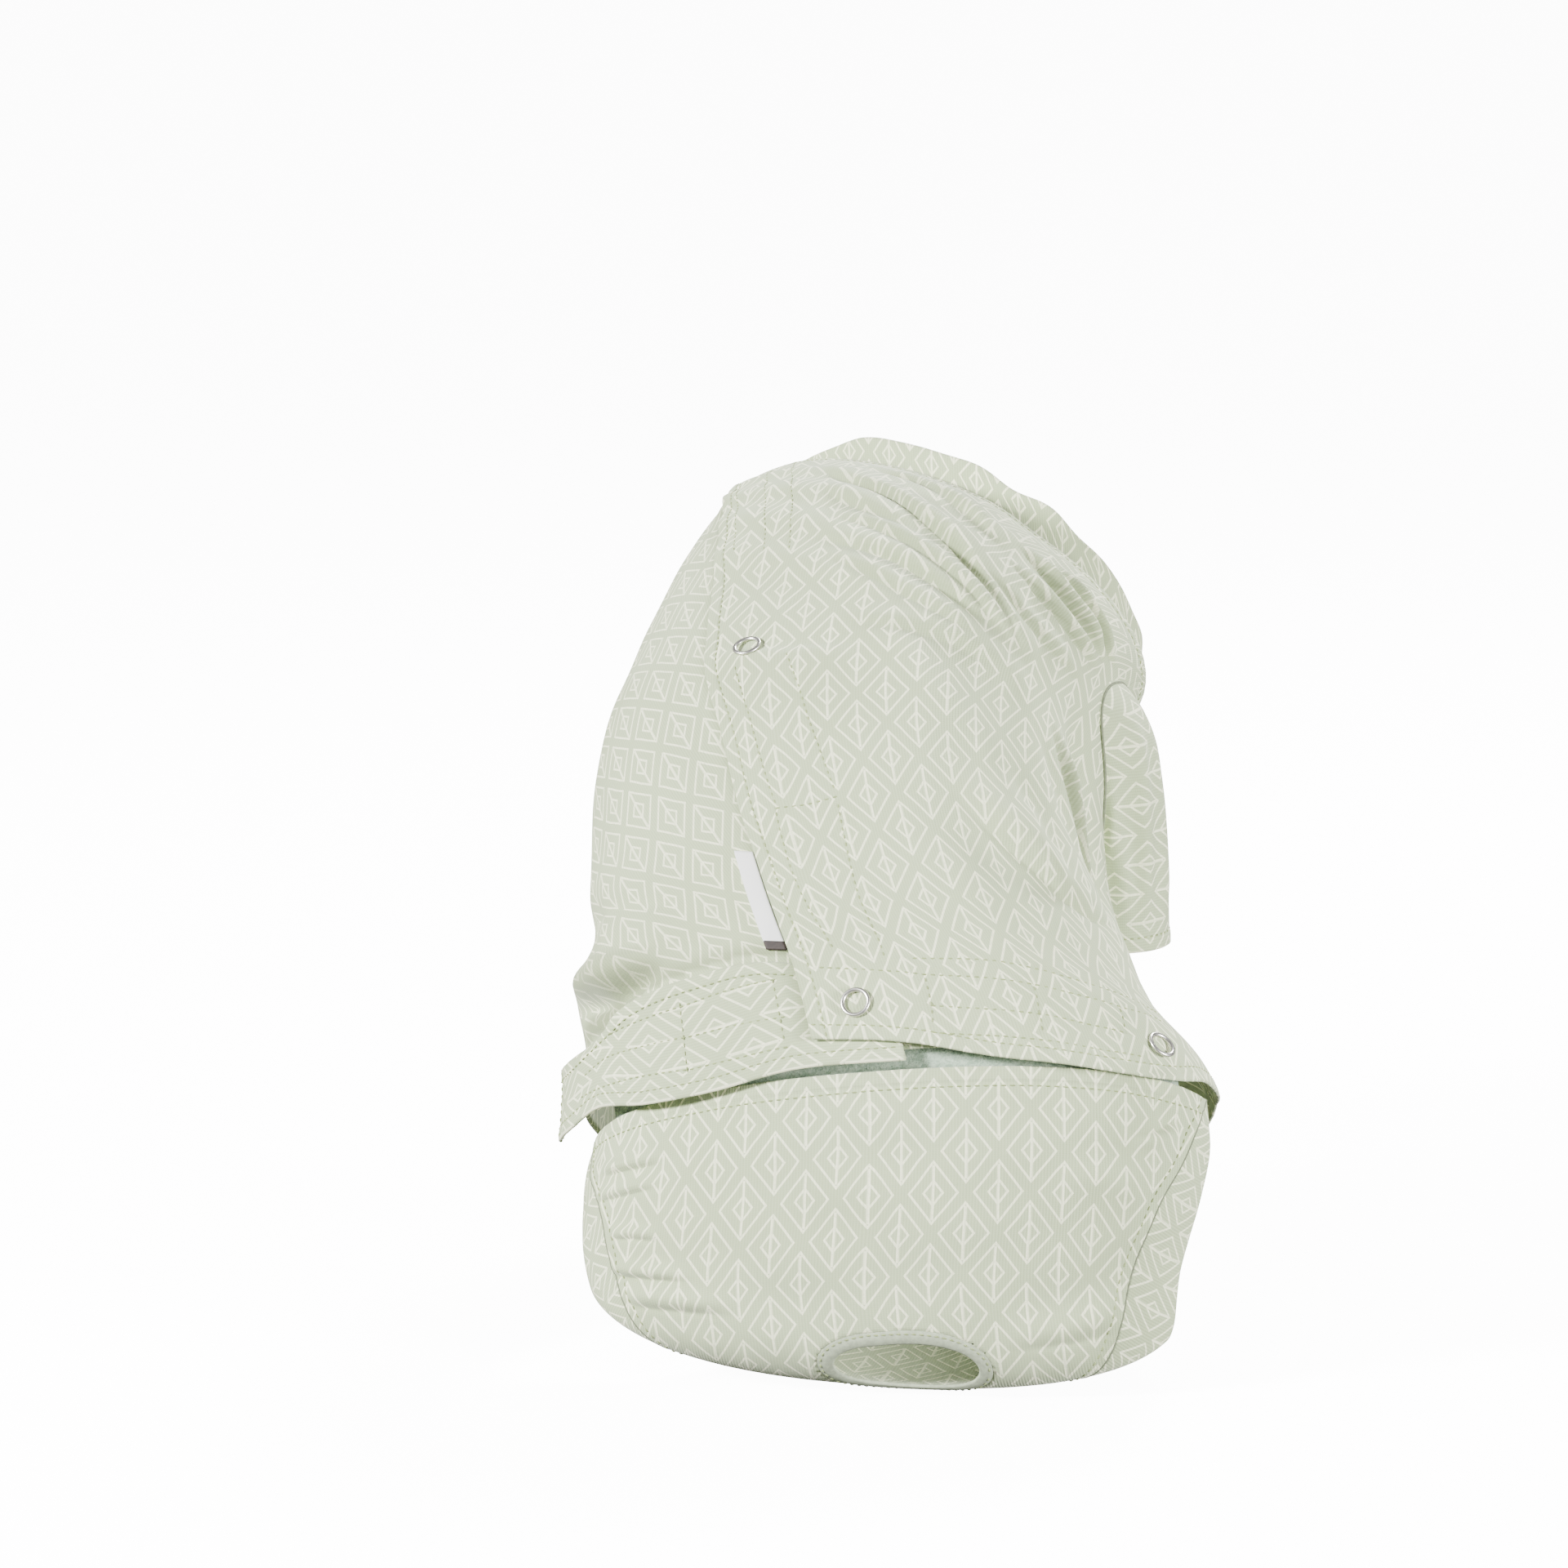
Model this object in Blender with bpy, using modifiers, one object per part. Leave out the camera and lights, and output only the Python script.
"""Dog jumpsuit, worn form: a wrap-over recovery suit for a small dog, kept as it sits on a seated body.

Metres, +Z up. The wearer faces +Y and +X is its right side. The origin is where the seat meets the ground.
The trunk is a stack of rounded sections along the back; every trunk piece is a wall on that one surface.
The seat is a second stack of sections that runs down the rump, under it and up to the belly hem.
"""
import math

import bmesh
import bpy
from mathutils import Vector

# trunk sizes
HEM_HEIGHT = 0.113
BACK_REACH = 0.208
BACK_RISE = 0.177
TRUNK_HALF_WIDTH = 0.113
TRUNK_HALF_DEPTH = 0.083
# seat sizes
SEAT_HALF_WIDTH = 0.112
SEAT_HALF_DEPTH = 0.070
# walls and the clear space between two layers
CLOTH = 0.0012
BAND = 0.0014
STRIP = 0.0010
LABEL = 0.0010
GAP = 0.0003
# closure, cuffs and collar
UNDERLAP_TURN = 24.0
SIDE_SEAM_TURN = 104.0
CUFF_WIDTH = 0.024
BELLY_TUCK = 0.05
BELLY_SPREAD = 0.36
COLLAR_TUCK = 0.012
COLLAR_RISE = 0.014
BAND_FLARE = 0.0075
TAG_WIDTH = 0.0055
TAG_LENGTH = 0.033
SNAP_DIAMETER = 0.0105
SNAP_WIRE = 0.0018
# sleeves
SLEEVE_HEM_RADIUS = 0.022
SLEEVE_HEM_HEIGHT = 0.121
SLEEVE_TOP_HEIGHT = 0.224
SLEEVE_OUT = 0.052
SLEEVE_FORWARD = 0.184
# tail opening
TAIL_OPENING_WIDTH = 0.056
TAIL_OPENING_HEIGHT = 0.034
BINDING_WIDTH = 0.005

# places on the body: along is the share of the way up the trunk or round the seat, turn is degrees round it
TAG_TOP_ALONG = 0.238
TAIL_ALONG = 0.565
TAIL_TURN = 6.0
STRIP_TURNS = (-61.0, 68.0)
STRIP_FOOT_ALONG = 0.055
STRIP_TOP_ALONG = 0.050
SHOULDER_ALONG = 0.78
# where one form eases into the next
FOLD_FADE = (0.86, 0.94)
SEAT_JOIN = (0.84, 0.96)
SEAT_JOIN_LEVEL = -0.09
BAND_FADE_ALONG = (0.105, 0.16)
BAND_FADE_TURN = (7.0, 16.0)
UNDERLAP_FADE = (3.0, 20.0)
UNDERLAP_TAPER = 22.0
HIDDEN_EASE = 9.0
# faces: the wings and the chest panel share their row count, so that layers stay parallel
PANEL_ROWS = 28
SEAT_ROWS = 26

# the first row of each table names its columns; lengths are shares: centre and width of the half width,
# depth of the half depth, reach and rise of BACK_REACH and BACK_RISE; lean, turn and roll are degrees;
# square is the exponent of the rounded section
TRUNK = [
    ("along", "centre", "reach", "rise", "width", "depth", "lean", "turn", "roll", "square"),
    (0.00, -0.08, -0.02, 0.000, 1.000, 0.900, 31.0, -4.0, 7.0, 2.3),
    (0.10, -0.12, 0.07, 0.170, 0.980, 0.930, 33.0, -10.0, 1.0, 2.3),
    (0.22, -0.21, 0.17, 0.330, 0.940, 0.975, 38.0, -16.0, -1.5, 2.3),
    (0.42, -0.31, 0.36, 0.615, 0.875, 1.000, 46.0, -21.0, -1.0, 2.3),
    (0.62, -0.32, 0.585, 0.825, 0.825, 0.990, 55.0, -23.0, 1.0, 2.2),
    (0.80, -0.27, 0.79, 0.975, 0.790, 0.880, 60.0, -23.5, 0.0, 2.1),
    (0.92, -0.21, 0.92, 1.008, 0.790, 0.800, 59.0, -25.5, -4.0, 2.0),
    (1.00, -0.17, 1.03, 0.995, 0.790, 0.770, 57.0, -27.0, -6.0, 2.0),
]
# here reach is a share of the belly hem's distance and rise a share of HEM_HEIGHT
SEAT = [
    ("along", "centre", "reach", "rise", "width", "depth", "lean", "turn", "roll", "square"),
    (0.00, -0.08, -0.015, 0.975, 0.985, 1.030, 31.0, -4.0, 7.0, 2.3),
    (0.14, -0.08, -0.070, 0.780, 1.000, 1.000, 22.0, -3.0, 5.0, 2.3),
    (0.28, -0.09, -0.110, 0.570, 0.985, 0.930, 12.0, -2.0, 3.0, 2.3),
    (0.42, -0.11, -0.125, 0.340, 0.955, 0.840, 0.0, -1.0, 1.0, 2.3),
    (0.54, -0.10, -0.115, 0.130, 0.920, 0.700, -10.0, 0.0, -1.0, 2.4),
    (0.61, -0.09, -0.045, 0.022, 0.870, 0.560, -34.0, 0.0, -1.5, 2.4),
    (0.68, -0.08, 0.090, 0.000, 0.740, 0.430, -66.0, 0.0, -1.0, 2.3),
    (0.77, -0.06, 0.340, 0.000, 0.500, 0.340, -88.0, 0.0, 0.0, 2.1),
    (0.87, -0.05, 0.580, 0.012, 0.390, 0.260, -95.0, 0.0, 0.0, 2.1),
    (0.94, -0.04, 0.800, 0.115, 0.420, 0.280, -118.0, 0.0, 0.0, 2.1),
    (1.00, -0.04, 1.050, 0.405, 0.500, 0.300, -135.0, 0.0, 0.0, 2.1),
]
# the free edge of the upper wing, from hem to neck
CLOSURE = [
    ("along", "turn"),
    (0.00, -6.0),
    (0.13, -6.6),
    (0.21, -6.4),
    (0.29, -8.2),
    (0.38, -10.5),
    (0.47, -15.5),
    (0.53, -17.5),
    (0.66, -24.0),
    (0.88, -45.0),
    (1.00, -57.0),
]
# lower edge of the upper wing round the body
WING_HEM = [
    ("turn", "along"),
    (-60.0, 0.030),
    (-2.0, 0.026),
    (24.0, 0.002),
    (50.0, -0.008),
    (64.0, 0.002),
    (80.0, 0.030),
    (104.0, 0.060),
]
# upper edge of the upper wing at the neck
WING_NECK = [
    ("turn", "along"),
    (-84.0, 1.000),
    (-60.0, 1.036),
    (-38.0, 1.030),
    (-12.0, 1.002),
    (104.0, 1.000),
]
# lower edge of the chest panel and of the lower wing, on round the body to the far side
BELLY_HEM = [
    ("turn", "along"),
    (104.0, 0.060),
    (130.0, 0.020),
    (180.0, 0.000),
    (230.0, 0.014),
    (256.0, 0.022),
    (290.0, 0.018),
    (320.0, 0.010),
    (384.0, 0.022),
]
# waist band of the lower wing: its lower and upper edges, and its stand-off as a share of BAND_FLARE
WAIST_BAND = [
    ("turn", "low", "high", "flare"),
    (-84.0, 0.006, 0.058, 1.00),
    (-72.0, 0.002, 0.052, 0.72),
    (-58.0, 0.006, 0.058, 0.30),
    (-42.0, -0.004, 0.077, 0.10),
    (-26.0, -0.005, 0.090, 0.00),
    (-9.0, 0.004, 0.101, 0.00),
    (5.0, 0.004, 0.080, 0.00),
]
# soft folds on the trunk: from and to along the back and round it, height, half breadth (shares of FOLD_SIZE)
FOLD_SIZE = 0.010
FOLDS = [
    ("along_from", "turn_from", "along_to", "turn_to", "height", "breadth"),
    (0.115, -104.0, 0.112, -52.0, 0.50, 1.10),
    (0.112, -52.0, 0.130, -34.0, 0.25, 0.90),
    (0.190, -104.0, 0.180, -60.0, -0.25, 1.30),
    (0.890, -40.0, 0.840, 40.0, 0.20, 0.60),
    (0.830, -38.0, 0.750, 50.0, 0.22, 0.70),
    (0.760, -30.0, 0.670, 56.0, 0.22, 0.75),
    (0.680, -22.0, 0.600, 54.0, 0.16, 0.80),
    (0.560, 22.0, 0.300, 80.0, 0.18, 1.00),
    (0.600, 86.0, 0.450, 92.0, -0.70, 1.60),
    (0.450, 92.0, 0.330, 92.0, -0.25, 1.30),
]
# leg opening edge of the seat, degrees round the section, left and right, and the cuff's share of CUFF_WIDTH
LEG_EDGES = [
    ("along", "left", "right", "cuff"),
    (0.00, 80.0, 80.0, 0.06),
    (0.14, 80.0, 78.0, 0.55),
    (0.28, 79.0, 76.0, 0.90),
    (0.42, 78.0, 75.0, 1.00),
    (0.65, 76.0, 74.0, 1.00),
    (0.80, 74.0, 74.0, 0.85),
    (1.00, 74.0, 74.0, 0.75),
]
# sleeve sections: height between hem and top, sideways and forward shift and two radii as shares of the hem's
SLEEVE_SECTIONS = [
    ("rise", "out", "forward", "across", "lengthwise"),
    (0.00, 0.00, 0.00, 1.00, 1.05),
    (0.30, -0.10, -0.04, 1.04, 1.12),
    (0.62, -0.36, -0.16, 1.14, 1.28),
    (0.84, -0.66, -0.24, 1.18, 1.38),
    (1.00, -1.10, -0.30, 1.02, 1.20),
]
# height that the collar shows above the neck edge, as a share of COLLAR_RISE, round the neck
COLLAR_SHOW = [
    ("turn", "height"),
    (-180.0, 0.30),
    (-60.0, 0.25),
    (-30.0, 0.30),
    (-8.0, 0.95),
    (60.0, 1.00),
    (120.0, 0.50),
    (180.0, 0.30),
]
RING_SNAPS = [
    ("name", "along", "turn"),
    ("ring_snap_back", 0.500, -6.0),
    ("ring_snap_waist", 0.060, 0.5),
    ("ring_snap_side", 0.055, 61.0),
]

COLLAR_STAND = Vector((0.05, 0.30, 0.95)).normalized()

SAGE = (0.600, 0.640, 0.545, 1.0)
SAGE_DARK = (0.500, 0.545, 0.440, 1.0)
MINT = (0.430, 0.590, 0.450, 1.0)
WHITE = (0.860, 0.860, 0.850, 1.0)
STEEL = (0.700, 0.700, 0.700, 1.0)


def clear_scene():
    for obj in list(bpy.data.objects):
        bpy.data.objects.remove(obj, do_unlink=True)


def smooth_value(knots, values, x):
    """A smooth curve through a few values, flat past its ends."""
    x = min(max(x, knots[0]), knots[-1])
    last = len(knots) - 1
    i = 0
    while i < last - 1 and x > knots[i + 1]:
        i += 1

    def slope(k):
        a = max(k - 1, 0)
        b = min(k + 1, last)
        return (values[b] - values[a]) / (knots[b] - knots[a])

    span = knots[i + 1] - knots[i]
    t = (x - knots[i]) / span
    start = (2 * t ** 3 - 3 * t ** 2 + 1) * values[i] + (t ** 3 - 2 * t ** 2 + t) * span * slope(i)
    end = (3 * t ** 2 - 2 * t ** 3) * values[i + 1] + (t ** 3 - t ** 2) * span * slope(i + 1)
    return start + end


def column(table, name, x):
    """The named column of a table at x, which runs along the table's first column."""
    index = table[0].index(name)
    rows = table[1:]
    return smooth_value([row[0] for row in rows], [row[index] for row in rows], x)


def row_at(table, x):
    return {name: column(table, name, x) for name in table[0]}


def records(table):
    return [dict(zip(table[0], row)) for row in table[1:]]


def on_section(sec, centre_x, back_y, back_z, half_width, half_depth, turn_deg):
    """A point of one rounded section: 0 degrees is the back, positive goes round the wearer's right side."""
    angle = math.radians(turn_deg)
    power = 2.0 / sec["square"]
    sine = math.sin(angle)
    cosine = math.cos(angle)
    across = math.copysign(abs(sine) ** power, sine) * half_width * sec["width"]
    depth = half_depth * sec["depth"]
    inward = -math.copysign(abs(cosine) ** power, cosine) * depth
    lean = math.radians(sec["lean"])
    turn = math.radians(sec["turn"])
    roll = math.radians(sec["roll"])
    up = across * math.sin(roll)
    across = across * math.cos(roll)
    forward = inward * math.cos(lean)
    up = up - inward * math.sin(lean)
    x = centre_x + across * math.cos(turn) - forward * math.sin(turn)
    y = back_y + depth * math.cos(lean) + across * math.sin(turn) + forward * math.cos(turn)
    return Vector((x, y, back_z - depth * math.sin(lean) + up))


def trunk_base(along, turn):
    """The trunk's middle surface; past its hem and neck it runs straight on."""
    inside = min(max(along, 0.0), 1.0)
    sec = row_at(TRUNK, inside)
    spot = on_section(sec, sec["centre"] * TRUNK_HALF_WIDTH, sec["reach"] * BACK_REACH,
                      HEM_HEIGHT + sec["rise"] * BACK_RISE, TRUNK_HALF_WIDTH, TRUNK_HALF_DEPTH, turn)
    if along == inside:
        return spot
    step = 0.03
    other = trunk_base(inside + math.copysign(step, 0.5 - inside), turn)
    return spot + (spot - other) * (abs(along - inside) / step)


def belly_hem():
    return trunk_base(0.0, 180.0)


BELLY = belly_hem()


def seat_base(along, turn):
    """The seat's middle surface; its front end turns up inside the chest panel's hem."""
    sec = row_at(SEAT, along)
    spot = on_section(sec, sec["centre"] * SEAT_HALF_WIDTH, sec["reach"] * BELLY.y,
                      CLOTH / 2 + sec["rise"] * HEM_HEIGHT, SEAT_HALF_WIDTH, SEAT_HALF_DEPTH, turn)
    joined = ramp(along, *SEAT_JOIN)
    if joined == 0.0:
        return spot
    level = blend(SEAT_JOIN_LEVEL, BELLY_TUCK, (along - SEAT_JOIN[0]) / (1.0 - SEAT_JOIN[0]))
    front = 180.0 - BELLY_SPREAD * turn
    inside = trunk_base(level, front) - outward(trunk_base, level, front) * (CLOTH + GAP * 2.5)
    return spot.lerp(inside, joined)


def outward(surface, along, turn):
    """The surface's own normal, pointing away from the wearer."""
    nudge = 0.004
    swing = 0.5
    run = surface(along + nudge, turn) - surface(along - nudge, turn)
    side = surface(along, turn + swing) - surface(along, turn - swing)
    return side.cross(run).normalized()


def fold_height(along, turn):
    """Sum of the soft ridges and valleys at one place; distances are taken on a body of mean size."""
    length = math.hypot(BACK_REACH, BACK_RISE)
    per_degree = math.radians(1.0) * TRUNK_HALF_WIDTH * 0.85
    total = 0.0
    for fold in records(FOLDS):
        start = Vector((fold["along_from"] * length, fold["turn_from"] * per_degree))
        end = Vector((fold["along_to"] * length, fold["turn_to"] * per_degree))
        here = Vector((along * length, turn * per_degree))
        run = end - start
        share = min(max((here - start).dot(run) / run.length_squared, 0.0), 1.0)
        away = (here - start - run * share).length
        total += fold["height"] * FOLD_SIZE * math.exp(-(away / (fold["breadth"] * FOLD_SIZE)) ** 2)
    return total * (1 - ramp(along, *FOLD_FADE))


def wrapped(turn):
    return (turn + 180.0) % 360.0 - 180.0


def on_trunk(along, turn, lift, folded=1.0):
    base = trunk_base(along, turn)
    return base + outward(trunk_base, along, turn) * (lift + folded * fold_height(along, wrapped(turn)))


def on_seat(along, turn, lift):
    """The seat's sections run downwards, so its outer side is against the trunk's sense."""
    return seat_base(along, turn) - outward(seat_base, along, turn) * lift


def blend(a, b, share):
    return a + (b - a) * share


def ramp(x, low, high):
    t = min(max((x - low) / (high - low), 0.0), 1.0)
    return t * t * (3 - 2 * t)


def material(name, colour, roughness, metallic=0.0):
    mat = bpy.data.materials.new(name)
    mat.use_nodes = True
    shader = mat.node_tree.nodes["Principled BSDF"]
    shader.inputs["Base Color"].default_value = colour
    shader.inputs["Roughness"].default_value = roughness
    shader.inputs["Metallic"].default_value = metallic
    return mat


def collection(name):
    made = bpy.data.collections.new(name)
    bpy.context.scene.collection.children.link(made)
    return made


def mesh_object(name, home, rows, closed_round=False, closed_solid=False):
    """A loft through rows of points, each row one line of the grid."""
    bm = bmesh.new()
    grid = [[bm.verts.new(spot) for spot in row] for row in rows]
    width = len(rows[0])
    around = width if closed_round else width - 1
    for low, high in zip(grid, grid[1:]):
        for k in range(around):
            after = (k + 1) % width
            bm.faces.new((low[k], low[after], high[after], high[k]))
    if closed_solid:
        bm.faces.new(reversed(grid[0]))
        bm.faces.new(grid[-1])
    bmesh.ops.recalc_face_normals(bm, faces=bm.faces)
    mesh = bpy.data.meshes.new(name)
    bm.to_mesh(mesh)
    bm.free()
    obj = bpy.data.objects.new(name, mesh)
    home.objects.link(obj)
    return obj


def thicken(obj, wall):
    solidify = obj.modifiers.new("wall", "SOLIDIFY")
    solidify.thickness = wall
    solidify.offset = 0.0
    solidify.use_even_offset = True
    solidify.use_quality_normals = True


def cloth_piece(name, home, mat, rows, wall, closed_round=False):
    obj = mesh_object(name, home, rows, closed_round)
    thicken(obj, wall)
    obj.data.materials.append(mat)
    obj.data.shade_smooth()
    return obj


def cut(obj, cutter):
    boolean = obj.modifiers.new("cut " + cutter.name, "BOOLEAN")
    boolean.operation = "DIFFERENCE"
    boolean.solver = "EXACT"
    boolean.object = cutter


def upper_lift(along, turn):
    """How far the upper wing stands off: over the lower wing, more over its waist band, flush past it."""
    one_layer = CLOTH + GAP * 2
    over_band = (BAND + GAP) * (1 - ramp(along, *BAND_FADE_ALONG)) * (1 - ramp(turn, *BAND_FADE_TURN))
    over_wing = one_layer * (1 - ramp(turn - UNDERLAP_TURN, *UNDERLAP_FADE))
    return over_wing + over_band


def gap_turn(clear=GAP):
    """A clearance along the cloth as degrees round the trunk."""
    return math.degrees(clear / (TRUNK_HALF_WIDTH * 0.8))


def closure_turn(along):
    return column(CLOSURE, "turn", along)


def make_upper_wing(home, mat):
    rows = []
    across = 20
    corner = column(WING_HEM, "along", closure_turn(0.0))
    for i in range(PANEL_ROWS + 1):
        level = i / PANEL_ROWS
        start = closure_turn(blend(corner, 1.0, level))
        end = SIDE_SEAM_TURN - gap_turn()
        row = []
        for k in range(across + 1):
            turn = blend(start, end, k / across)
            along = blend(column(WING_HEM, "along", turn), column(WING_NECK, "along", turn), level)
            row.append(on_trunk(along, turn, upper_lift(along, turn)))
        rows.append(row)
    return cloth_piece("wing_right_upper", home, mat, rows, CLOTH)


def panel_spot(level, turn):
    """A place between the belly hem and the neck; under the upper wing the cloth lies smooth and lower."""
    hem = column(BELLY_HEM, "along", turn + 360.0 if turn < SIDE_SEAM_TURN else turn)
    along = blend(hem, 1.0, level)
    if turn > SIDE_SEAM_TURN:
        return on_trunk(along, turn, 0.0)
    edge = closure_turn(along)
    hidden = ramp(turn, edge, edge + HIDDEN_EASE)
    return on_trunk(along, turn, -GAP * 3 * hidden, 1.0 - hidden)


def make_lower_wing(home, mat):
    across = 14
    rows = []
    for i in range(PANEL_ROWS + 1):
        level = i / PANEL_ROWS
        end = UNDERLAP_TURN - UNDERLAP_TAPER * ramp(level, 0.5, 1.0)
        start = -SIDE_SEAM_TURN + gap_turn()
        rows.append([panel_spot(level, blend(start, end, k / across)) for k in range(across + 1)])
    return cloth_piece("wing_left_lower", home, mat, rows, CLOTH)


def make_chest(home, mat):
    across = 12
    rows = []
    for i in range(PANEL_ROWS + 1):
        start = SIDE_SEAM_TURN + gap_turn()
        end = 360.0 - SIDE_SEAM_TURN - gap_turn()
        rows.append([panel_spot(i / PANEL_ROWS, blend(start, end, k / across)) for k in range(across + 1)])
    return cloth_piece("chest_panel", home, mat, rows, CLOTH)


def make_collar(home, mat):
    """A low stand band inside the neck edge; it shows most at the nape."""
    sides = 52
    inset = -(CLOTH + GAP * 4)
    length = math.hypot(BACK_REACH, BACK_RISE)
    foot = []
    fold = []
    top = []
    for k in range(sides):
        turn = -180.0 + 360.0 * k / sides
        past_edge = column(WING_NECK, "along", turn) + (CLOTH + GAP * 3) / length
        show = COLLAR_RISE * column(COLLAR_SHOW, "height", turn)
        foot.append(on_trunk(1.0 - COLLAR_TUCK / length, turn, inset))
        fold.append(on_trunk(past_edge, turn, inset))
        top.append(fold[-1] + COLLAR_STAND * show)
    return cloth_piece("collar", home, mat, [foot, fold, top], CLOTH, closed_round=True)


def make_waist_band(home, mat):
    across = 18
    up = 4
    first = WAIST_BAND[1][0]
    last = WAIST_BAND[-1][0]
    rows = []
    for i in range(up + 1):
        row = []
        for k in range(across + 1):
            turn = blend(first, last, k / across)
            along = blend(column(WAIST_BAND, "low", turn), column(WAIST_BAND, "high", turn), i / up)
            lift = (CLOTH + BAND) / 2 + GAP + BAND_FLARE * column(WAIST_BAND, "flare", turn)
            row.append(on_trunk(along, turn, lift))
        rows.append(row)
    return cloth_piece("waist_band_left", home, mat, rows, BAND)


def shoulder_mirror(spot):
    """The same place on the wearer's left, mirrored in the turned middle plane of the shoulders."""
    turn = math.radians(column(TRUNK, "turn", SHOULDER_ALONG))
    middle = (trunk_base(SHOULDER_ALONG, 0.0) + trunk_base(SHOULDER_ALONG, 180.0)) / 2
    aside = Vector((math.cos(turn), math.sin(turn), 0.0))
    return spot - aside * (2 * (spot - middle).dot(aside))


def sleeve_rows(grow, sides, levels, mirrored):
    rows = []
    for i in range(levels + 1):
        rise = i / levels
        sec = row_at(SLEEVE_SECTIONS, rise)
        x = SLEEVE_OUT + sec["out"] * SLEEVE_HEM_RADIUS
        y = SLEEVE_FORWARD + sec["forward"] * SLEEVE_HEM_RADIUS
        z = blend(SLEEVE_HEM_HEIGHT, SLEEVE_TOP_HEIGHT, rise)
        row = []
        for k in range(sides):
            angle = 2 * math.pi * k / sides
            spot = Vector((x + math.cos(angle) * (SLEEVE_HEM_RADIUS * sec["across"] + grow),
                           y + math.sin(angle) * (SLEEVE_HEM_RADIUS * sec["lengthwise"] + grow), z))
            row.append(shoulder_mirror(spot) if mirrored else spot)
        rows.append(row)
    return rows


def trunk_solid(home, lift):
    """The wearer's side of the trunk as one closed solid, for trimming what joins it."""
    rows = []
    levels = 24
    sides = 48
    for i in range(levels + 1):
        rows.append([on_trunk(i / levels, -180.0 + 360.0 * k / sides, lift) for k in range(sides)])
    return mesh_object("trunk_trim", home, rows, closed_round=True, closed_solid=True)


def make_sleeve(name, home, cutters, mat, mirrored, trim):
    sides = 24
    levels = 7
    wall = sleeve_rows(0.0, sides, levels, mirrored)
    room = sleeve_rows(CLOTH / 2 + GAP, sides, levels, mirrored)
    sleeve = cloth_piece(name, home, mat, wall, CLOTH, closed_round=True)
    cut(sleeve, trim)
    hole = mesh_object(name + "_hole", cutters, room, closed_round=True, closed_solid=True)
    return sleeve, hole


def leg_edge(along, side):
    return column(LEG_EDGES, side, along)


def cuff_turn(along, side):
    """Degrees round the seat that the cuff takes at its share of the cuff's width."""
    edge = leg_edge(along, side)
    sign = -1.0 if side == "left" else 1.0
    step = 4.0
    reach = (seat_base(along, sign * edge) - seat_base(along, sign * (edge - step))).length
    return column(LEG_EDGES, "cuff", along) * CUFF_WIDTH / reach * step


def make_seat(home, mat):
    across = 14
    rows = []
    for i in range(SEAT_ROWS + 1):
        along = i / SEAT_ROWS
        start = -(leg_edge(along, "left") - cuff_turn(along, "left"))
        end = leg_edge(along, "right") - cuff_turn(along, "right")
        rows.append([on_seat(along, blend(start, end, k / across), 0.0) for k in range(across + 1)])
    return cloth_piece("seat_panel", home, mat, rows, CLOTH)


def make_cuff(name, home, mat, side):
    sign = -1.0 if side == "left" else 1.0
    across = 2
    rows = []
    for i in range(SEAT_ROWS + 1):
        along = i / SEAT_ROWS
        edge = leg_edge(along, side)
        seam = edge - cuff_turn(along, side)
        start = seam + (edge - seam) * GAP * 1.2 / (CUFF_WIDTH * column(LEG_EDGES, "cuff", along))
        rows.append([on_seat(along, sign * blend(start, edge, k / across), 0.0) for k in range(across + 1)])
    return cloth_piece(name, home, mat, rows, CLOTH)


def tail_rim(size_out, lift, sides):
    """A ring of points round the tail opening; size_out grows or shrinks it in metres."""
    step = 0.02
    swing = 4.0
    per_along = (seat_base(TAIL_ALONG + step, TAIL_TURN) - seat_base(TAIL_ALONG, TAIL_TURN)).length / step
    per_turn = (seat_base(TAIL_ALONG, TAIL_TURN + swing) - seat_base(TAIL_ALONG, TAIL_TURN)).length / swing
    ring = []
    for k in range(sides):
        angle = 2 * math.pi * k / sides
        turn = TAIL_TURN + math.cos(angle) * (TAIL_OPENING_WIDTH / 2 + size_out) / per_turn
        along = TAIL_ALONG + math.sin(angle) * (TAIL_OPENING_HEIGHT / 2 + size_out) / per_along
        ring.append(on_seat(along, turn, lift))
    return ring


def make_tail_binding(home, mat, cutters, seat):
    sides = 24
    deep = 0.006
    hole = mesh_object("tail_hole", cutters, [tail_rim(0.0, lift, sides) for lift in (-deep, 0.0, deep)],
                       closed_round=True, closed_solid=True)
    cut(seat, hole)
    rows = [tail_rim(-GAP * 1.2 - BINDING_WIDTH * share, 0.0, sides) for share in (1.0, 0.5, 0.0)]
    return cloth_piece("tail_opening_binding", home, mat, rows, CLOTH, closed_round=True)


def make_loop_strip(home, mat):
    """Joins the seat to the trunk: its top lies inside the trunk's hem, its foot inside the seat's edge."""
    across = 18
    inset = -((CLOTH + STRIP) / 2 + GAP * 1.5)
    turns = [blend(*STRIP_TURNS, k / across) for k in range(across + 1)]
    foot = [on_seat(STRIP_FOOT_ALONG, turn, inset * 1.3) for turn in turns]
    edge = [on_seat(0.0, turn, inset * 1.6) for turn in turns]
    top = [on_trunk(STRIP_TOP_ALONG, turn, inset - GAP * 3) for turn in turns]
    middle = [low.lerp(high, 0.5) for low, high in zip(edge, top)]
    rows = [foot, edge, middle, top]
    return cloth_piece("seat_loop_strip", home, mat, rows, STRIP)


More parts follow.
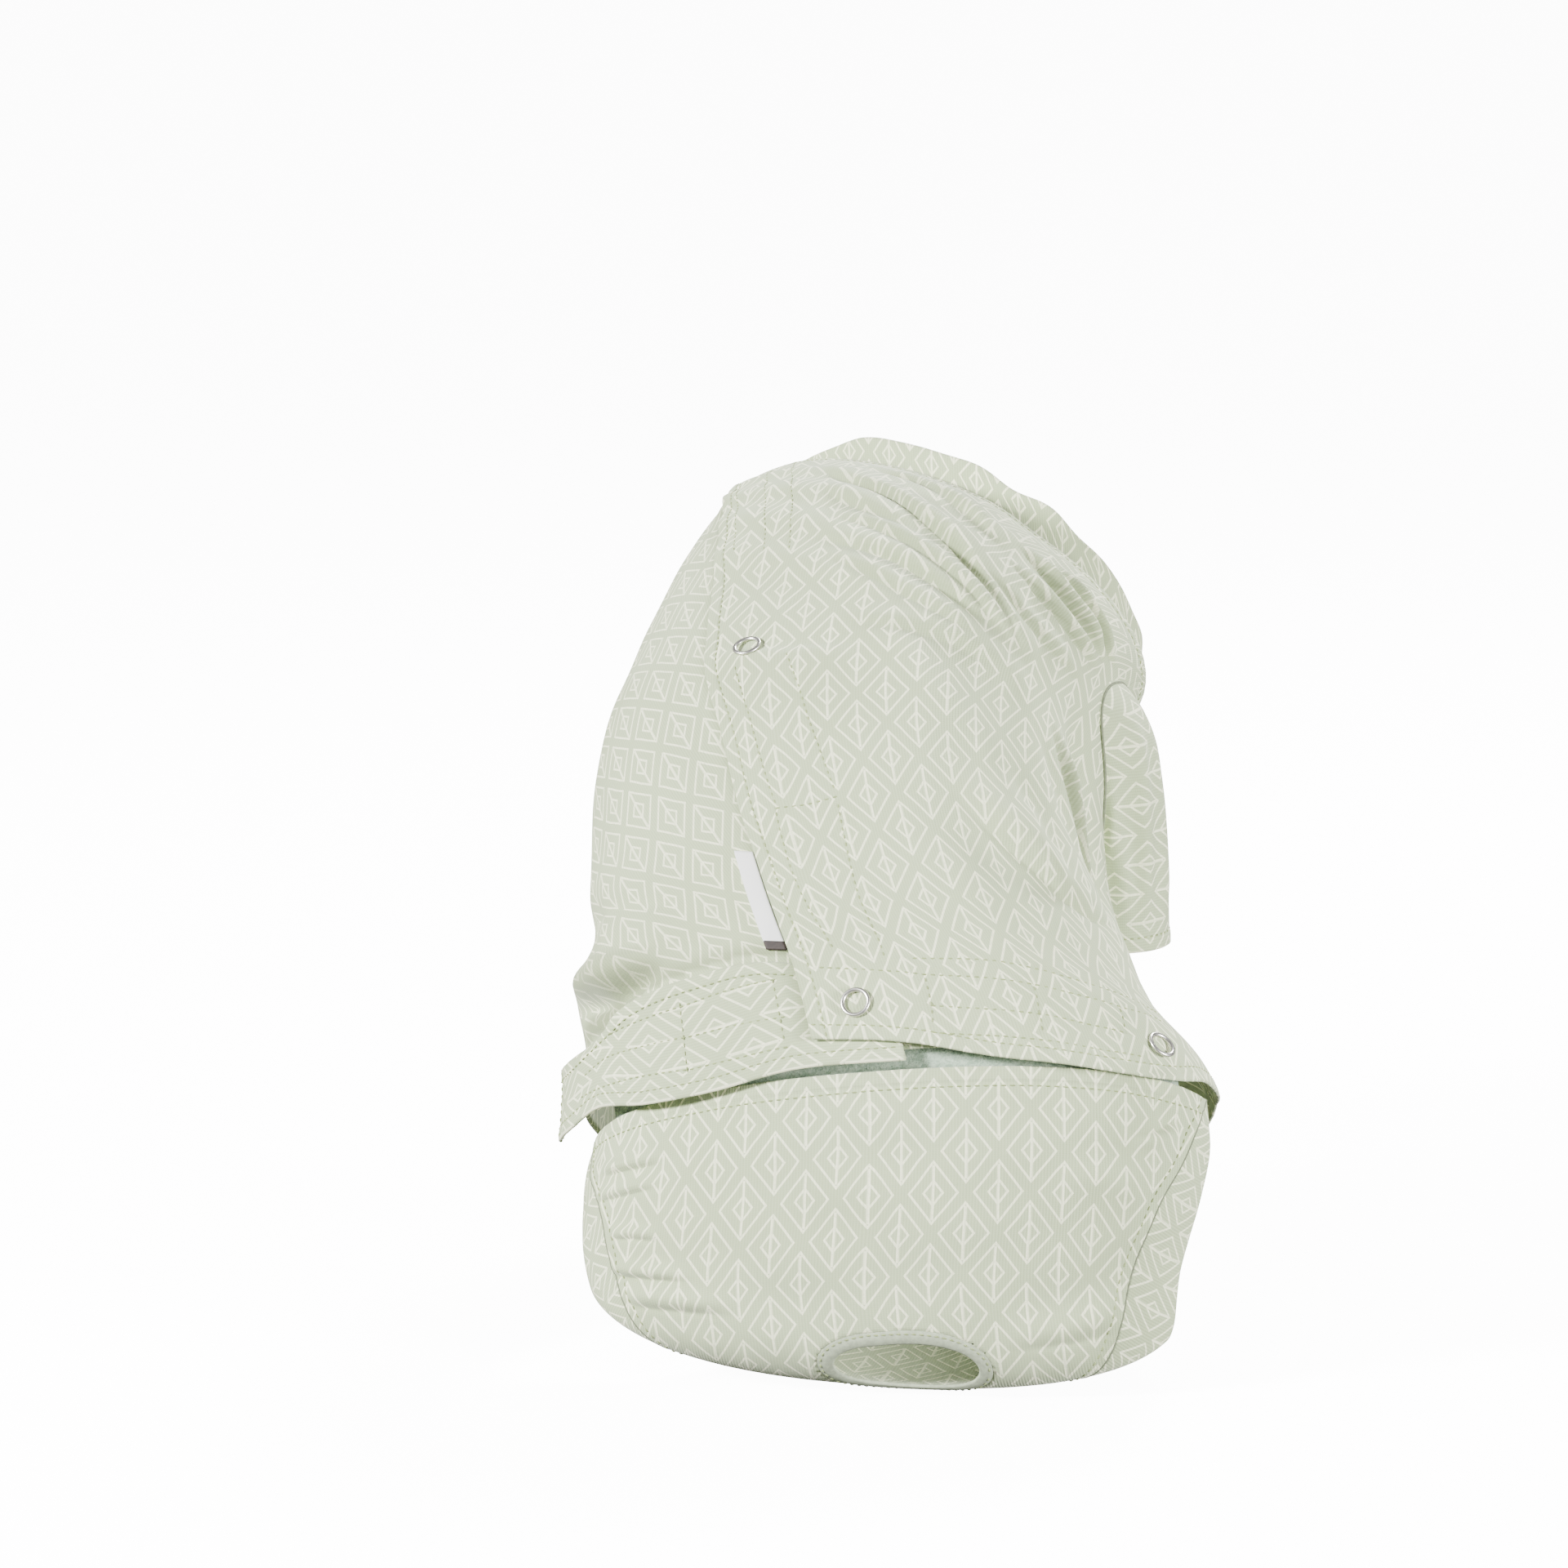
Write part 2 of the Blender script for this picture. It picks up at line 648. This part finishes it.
def make_snap(name, home, mat, along, turn, lift):
    normal = outward(trunk_base, along, turn)
    stand = lift + CLOTH / 2 + GAP * 1.6 + SNAP_WIRE * 0.3
    place = on_trunk(along, turn, stand)
    bpy.ops.mesh.primitive_torus_add(major_segments=16, minor_segments=6,
                                     major_radius=(SNAP_DIAMETER - SNAP_WIRE) / 2, minor_radius=SNAP_WIRE / 2)
    ring = bpy.context.object
    ring.name = name
    ring.data.name = name
    for vert in ring.data.vertices:
        vert.co.z *= 0.6
    for old in list(ring.users_collection):
        old.objects.unlink(ring)
    home.objects.link(ring)
    ring.location = place
    ring.rotation_euler = normal.to_track_quat("Z", "Y").to_euler()
    ring.data.materials.append(mat)
    ring.data.shade_smooth()
    return ring


def make_tag(home, mat):
    rows = []
    length = math.hypot(BACK_REACH, BACK_RISE)
    wide = math.degrees(TAG_WIDTH / (TRUNK_HALF_WIDTH * 0.8))
    clear = gap_turn(GAP * 3)
    stand = (CLOTH + LABEL) / 2 + GAP
    foot = TAG_TOP_ALONG - TAG_LENGTH / length
    up = 4
    for i in range(up + 1):
        along = blend(foot, TAG_TOP_ALONG, i / up)
        edge = closure_turn(along) - clear
        rows.append([on_trunk(along, edge - wide * share, stand) for share in (1.0, 0.5, 0.0)])
    return cloth_piece("side_tag", home, mat, rows, LABEL)


def build():
    clear_scene()
    home = collection("dog_jumpsuit")
    cutters = collection("cutters")
    cloth = material("sage_jersey", SAGE, 0.85)
    rib = material("sage_jersey_cuff", SAGE_DARK, 0.85)
    mint = material("mint_loop_tape", MINT, 0.95)
    white = material("blank_tag_cloth", WHITE, 0.8)
    steel = material("snap_steel", STEEL, 0.3, 1.0)

    upper = make_upper_wing(home, cloth)
    lower = make_lower_wing(home, cloth)
    chest = make_chest(home, cloth)
    make_collar(home, rib)
    make_waist_band(home, cloth)
    trim = trunk_solid(cutters, CLOTH / 2 + GAP)
    for name, mirrored, joined in (("sleeve_right", False, upper), ("sleeve_left", True, lower)):
        sleeve, hole = make_sleeve(name, home, cutters, cloth, mirrored, trim)
        cut(joined, hole)
        cut(chest, hole)
    seat = make_seat(home, cloth)
    make_cuff("leg_cuff_left", home, rib, "left")
    make_cuff("leg_cuff_right", home, rib, "right")
    make_tail_binding(home, rib, cutters, seat)
    make_loop_strip(home, mint)
    make_tag(home, white)
    for snap in records(RING_SNAPS):
        lift = upper_lift(snap["along"], snap["turn"])
        make_snap(snap["name"], home, steel, snap["along"], snap["turn"], lift)
    for obj in cutters.objects:
        obj.hide_render = True
        obj.display_type = "WIRE"


build()
